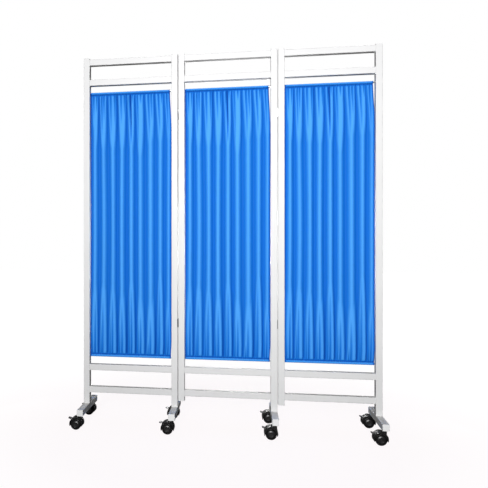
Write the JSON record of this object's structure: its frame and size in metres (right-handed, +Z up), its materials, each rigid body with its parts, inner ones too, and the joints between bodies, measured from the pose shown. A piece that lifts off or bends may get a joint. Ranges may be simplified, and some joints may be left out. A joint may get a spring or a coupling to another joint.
{
  "type": "folding privacy screen",
  "caption": "Folding clinic privacy screen: white square-tube panels on hinges, gathered blue curtains on rods, and cross legs on braked swivel casters.",
  "frame": {"origin": "on the floor, under the middle of the box round the opened screen", "axes": "+X along the opened panels to the right as seen from the front, +Y to the back, +Z up"},
  "size_m": [1.4546, 0.282, 1.8],
  "materials": {
    "white_powder_coat": "satin white powder coat",
    "white_cap_plastic": "moulded white plastic",
    "curtain_cloth": "plain woven polyester, gathered",
    "rod_steel": "bright drawn steel",
    "hinge_steel": "dull zinc",
    "zinc_steel": "zinc plated",
    "black_plastic": "moulded black nylon",
    "wheel_plastic": "black polyurethane tread on a glossy disc",
    "lever_plastic": "moulded black nylon"
  },
  "bodies": {
    "middle_panel": {"middle_panel_left_post": "white_powder_coat", "middle_panel_right_post": "white_powder_coat", "middle_panel_upper_rails": "white_powder_coat", "middle_panel_lower_rails": "white_powder_coat", "middle_panel_curtain_rods": "rod_steel", "middle_panel_curtain": "curtain_cloth", "middle_panel_post_caps": "white_cap_plastic", "left_seam_middle_panel_hinge_leaves": "hinge_steel", "right_seam_middle_panel_hinge_leaves": "hinge_steel", "hinge_pins": "hinge_steel", "leg_3": "white_powder_coat", "middle_panel_leg_caps": "white_cap_plastic", "middle_panel_caster_stems": "zinc_steel"},
    "left_panel": {"left_panel_left_post": "white_powder_coat", "left_panel_right_post": "white_powder_coat", "left_panel_upper_rails": "white_powder_coat", "left_panel_lower_rails": "white_powder_coat", "left_panel_curtain_rods": "rod_steel", "left_panel_curtain": "curtain_cloth", "left_panel_post_caps": "white_cap_plastic", "left_seam_left_panel_hinge_leaves": "hinge_steel", "leg_1": "white_powder_coat", "leg_2": "white_powder_coat", "left_panel_leg_caps": "white_cap_plastic", "left_panel_caster_stems": "zinc_steel"},
    "right_panel": {"right_panel_left_post": "white_powder_coat", "right_panel_right_post": "white_powder_coat", "right_panel_upper_rails": "white_powder_coat", "right_panel_lower_rails": "white_powder_coat", "right_panel_curtain_rods": "rod_steel", "right_panel_curtain": "curtain_cloth", "right_panel_post_caps": "white_cap_plastic", "right_seam_right_panel_hinge_leaves": "hinge_steel", "leg_4": "white_powder_coat", "right_panel_leg_caps": "white_cap_plastic", "right_panel_caster_stems": "zinc_steel"},
    "leg_1_front_caster": {"leg_1_front_caster_hood": "black_plastic"},
    "leg_1_front_wheels": {"leg_1_front_caster_wheels": "wheel_plastic"},
    "leg_1_front_lever": {"leg_1_front_caster_lever": "lever_plastic"},
    "leg_1_rear_caster": {"leg_1_rear_caster_hood": "black_plastic"},
    "leg_1_rear_wheels": {"leg_1_rear_caster_wheels": "wheel_plastic"},
    "leg_1_rear_lever": {"leg_1_rear_caster_lever": "lever_plastic"},
    "leg_2_front_caster": {"leg_2_front_caster_hood": "black_plastic"},
    "leg_2_front_wheels": {"leg_2_front_caster_wheels": "wheel_plastic"},
    "leg_2_front_lever": {"leg_2_front_caster_lever": "lever_plastic"},
    "leg_2_rear_caster": {"leg_2_rear_caster_hood": "black_plastic"},
    "leg_2_rear_wheels": {"leg_2_rear_caster_wheels": "wheel_plastic"},
    "leg_2_rear_lever": {"leg_2_rear_caster_lever": "lever_plastic"},
    "leg_3_front_caster": {"leg_3_front_caster_hood": "black_plastic"},
    "leg_3_front_wheels": {"leg_3_front_caster_wheels": "wheel_plastic"},
    "leg_3_front_lever": {"leg_3_front_caster_lever": "lever_plastic"},
    "leg_3_rear_caster": {"leg_3_rear_caster_hood": "black_plastic"},
    "leg_3_rear_wheels": {"leg_3_rear_caster_wheels": "wheel_plastic"},
    "leg_3_rear_lever": {"leg_3_rear_caster_lever": "lever_plastic"},
    "leg_4_front_caster": {"leg_4_front_caster_hood": "black_plastic"},
    "leg_4_front_wheels": {"leg_4_front_caster_wheels": "wheel_plastic"},
    "leg_4_front_lever": {"leg_4_front_caster_lever": "lever_plastic"},
    "leg_4_rear_caster": {"leg_4_rear_caster_hood": "black_plastic"},
    "leg_4_rear_wheels": {"leg_4_rear_caster_wheels": "wheel_plastic"},
    "leg_4_rear_lever": {"leg_4_rear_caster_lever": "lever_plastic"}
  },
  "joints": [
    {"name": "left_seam_fold", "type": "hinge", "parent": "middle_panel", "child": "left_panel", "pos_m": [-0.21277, -0.0186, 1], "axis": [0, 0, 1], "range_deg": [0, 135]},
    {"name": "right_seam_fold", "type": "hinge", "parent": "middle_panel", "child": "right_panel", "pos_m": [0.25813, 0.0186, 1], "axis": [0, 0, 1], "range_deg": [0, 135]},
    {"name": "leg_1_front_swivel", "type": "hinge", "parent": "left_panel", "child": "leg_1_front_caster", "pos_m": [-0.66697, -0.118, 0.0607], "axis": [0, 0, 1], "continuous": true},
    {"name": "leg_1_front_roll", "type": "hinge", "parent": "leg_1_front_caster", "child": "leg_1_front_wheels", "pos_m": [-0.68697, -0.118, 0.025], "axis": [0, 1, 0], "continuous": true},
    {"name": "leg_1_front_brake", "type": "hinge", "parent": "leg_1_front_caster", "child": "leg_1_front_lever", "pos_m": [-0.70634, -0.118, 0.04577], "axis": [0, 1, 0], "range_deg": [-18, 0]},
    {"name": "leg_1_rear_swivel", "type": "hinge", "parent": "left_panel", "child": "leg_1_rear_caster", "pos_m": [-0.66697, 0.118, 0.0607], "axis": [0, 0, 1], "continuous": true},
    {"name": "leg_1_rear_roll", "type": "hinge", "parent": "leg_1_rear_caster", "child": "leg_1_rear_wheels", "pos_m": [-0.68697, 0.118, 0.025], "axis": [0, 1, 0], "continuous": true},
    {"name": "leg_1_rear_brake", "type": "hinge", "parent": "leg_1_rear_caster", "child": "leg_1_rear_lever", "pos_m": [-0.70634, 0.118, 0.04577], "axis": [0, 1, 0], "range_deg": [-18, 0]},
    {"name": "leg_2_front_swivel", "type": "hinge", "parent": "left_panel", "child": "leg_2_front_caster", "pos_m": [-0.22947, -0.118, 0.0607], "axis": [0, 0, 1], "continuous": true},
    {"name": "leg_2_front_roll", "type": "hinge", "parent": "leg_2_front_caster", "child": "leg_2_front_wheels", "pos_m": [-0.24947, -0.118, 0.025], "axis": [0, 1, 0], "continuous": true},
    {"name": "leg_2_front_brake", "type": "hinge", "parent": "leg_2_front_caster", "child": "leg_2_front_lever", "pos_m": [-0.26883, -0.118, 0.04577], "axis": [0, 1, 0], "range_deg": [-18, 0]},
    {"name": "leg_2_rear_swivel", "type": "hinge", "parent": "left_panel", "child": "leg_2_rear_caster", "pos_m": [-0.22947, 0.118, 0.0607], "axis": [0, 0, 1], "continuous": true},
    {"name": "leg_2_rear_roll", "type": "hinge", "parent": "leg_2_rear_caster", "child": "leg_2_rear_wheels", "pos_m": [-0.24947, 0.118, 0.025], "axis": [0, 1, 0], "continuous": true},
    {"name": "leg_2_rear_brake", "type": "hinge", "parent": "leg_2_rear_caster", "child": "leg_2_rear_lever", "pos_m": [-0.26883, 0.118, 0.04577], "axis": [0, 1, 0], "range_deg": [-18, 0]},
    {"name": "leg_3_front_swivel", "type": "hinge", "parent": "middle_panel", "child": "leg_3_front_caster", "pos_m": [0.24143, -0.118, 0.0607], "axis": [0, 0, 1], "continuous": true},
    {"name": "leg_3_front_roll", "type": "hinge", "parent": "leg_3_front_caster", "child": "leg_3_front_wheels", "pos_m": [0.22143, -0.118, 0.025], "axis": [0, 1, 0], "continuous": true},
    {"name": "leg_3_front_brake", "type": "hinge", "parent": "leg_3_front_caster", "child": "leg_3_front_lever", "pos_m": [0.20206, -0.118, 0.04577], "axis": [0, 1, 0], "range_deg": [-18, 0]},
    {"name": "leg_3_rear_swivel", "type": "hinge", "parent": "middle_panel", "child": "leg_3_rear_caster", "pos_m": [0.24143, 0.118, 0.0607], "axis": [0, 0, 1], "continuous": true},
    {"name": "leg_3_rear_roll", "type": "hinge", "parent": "leg_3_rear_caster", "child": "leg_3_rear_wheels", "pos_m": [0.22143, 0.118, 0.025], "axis": [0, 1, 0], "continuous": true},
    {"name": "leg_3_rear_brake", "type": "hinge", "parent": "leg_3_rear_caster", "child": "leg_3_rear_lever", "pos_m": [0.20206, 0.118, 0.04577], "axis": [0, 1, 0], "range_deg": [-18, 0]},
    {"name": "leg_4_front_swivel", "type": "hinge", "parent": "right_panel", "child": "leg_4_front_caster", "pos_m": [0.71233, -0.118, 0.0607], "axis": [0, 0, 1], "continuous": true},
    {"name": "leg_4_front_roll", "type": "hinge", "parent": "leg_4_front_caster", "child": "leg_4_front_wheels", "pos_m": [0.69233, -0.118, 0.025], "axis": [0, 1, 0], "continuous": true},
    {"name": "leg_4_front_brake", "type": "hinge", "parent": "leg_4_front_caster", "child": "leg_4_front_lever", "pos_m": [0.67297, -0.118, 0.04577], "axis": [0, 1, 0], "range_deg": [-18, 0]},
    {"name": "leg_4_rear_swivel", "type": "hinge", "parent": "right_panel", "child": "leg_4_rear_caster", "pos_m": [0.71233, 0.118, 0.0607], "axis": [0, 0, 1], "continuous": true},
    {"name": "leg_4_rear_roll", "type": "hinge", "parent": "leg_4_rear_caster", "child": "leg_4_rear_wheels", "pos_m": [0.69233, 0.118, 0.025], "axis": [0, 1, 0], "continuous": true},
    {"name": "leg_4_rear_brake", "type": "hinge", "parent": "leg_4_rear_caster", "child": "leg_4_rear_lever", "pos_m": [0.67297, 0.118, 0.04577], "axis": [0, 1, 0], "range_deg": [-18, 0]}
  ]
}
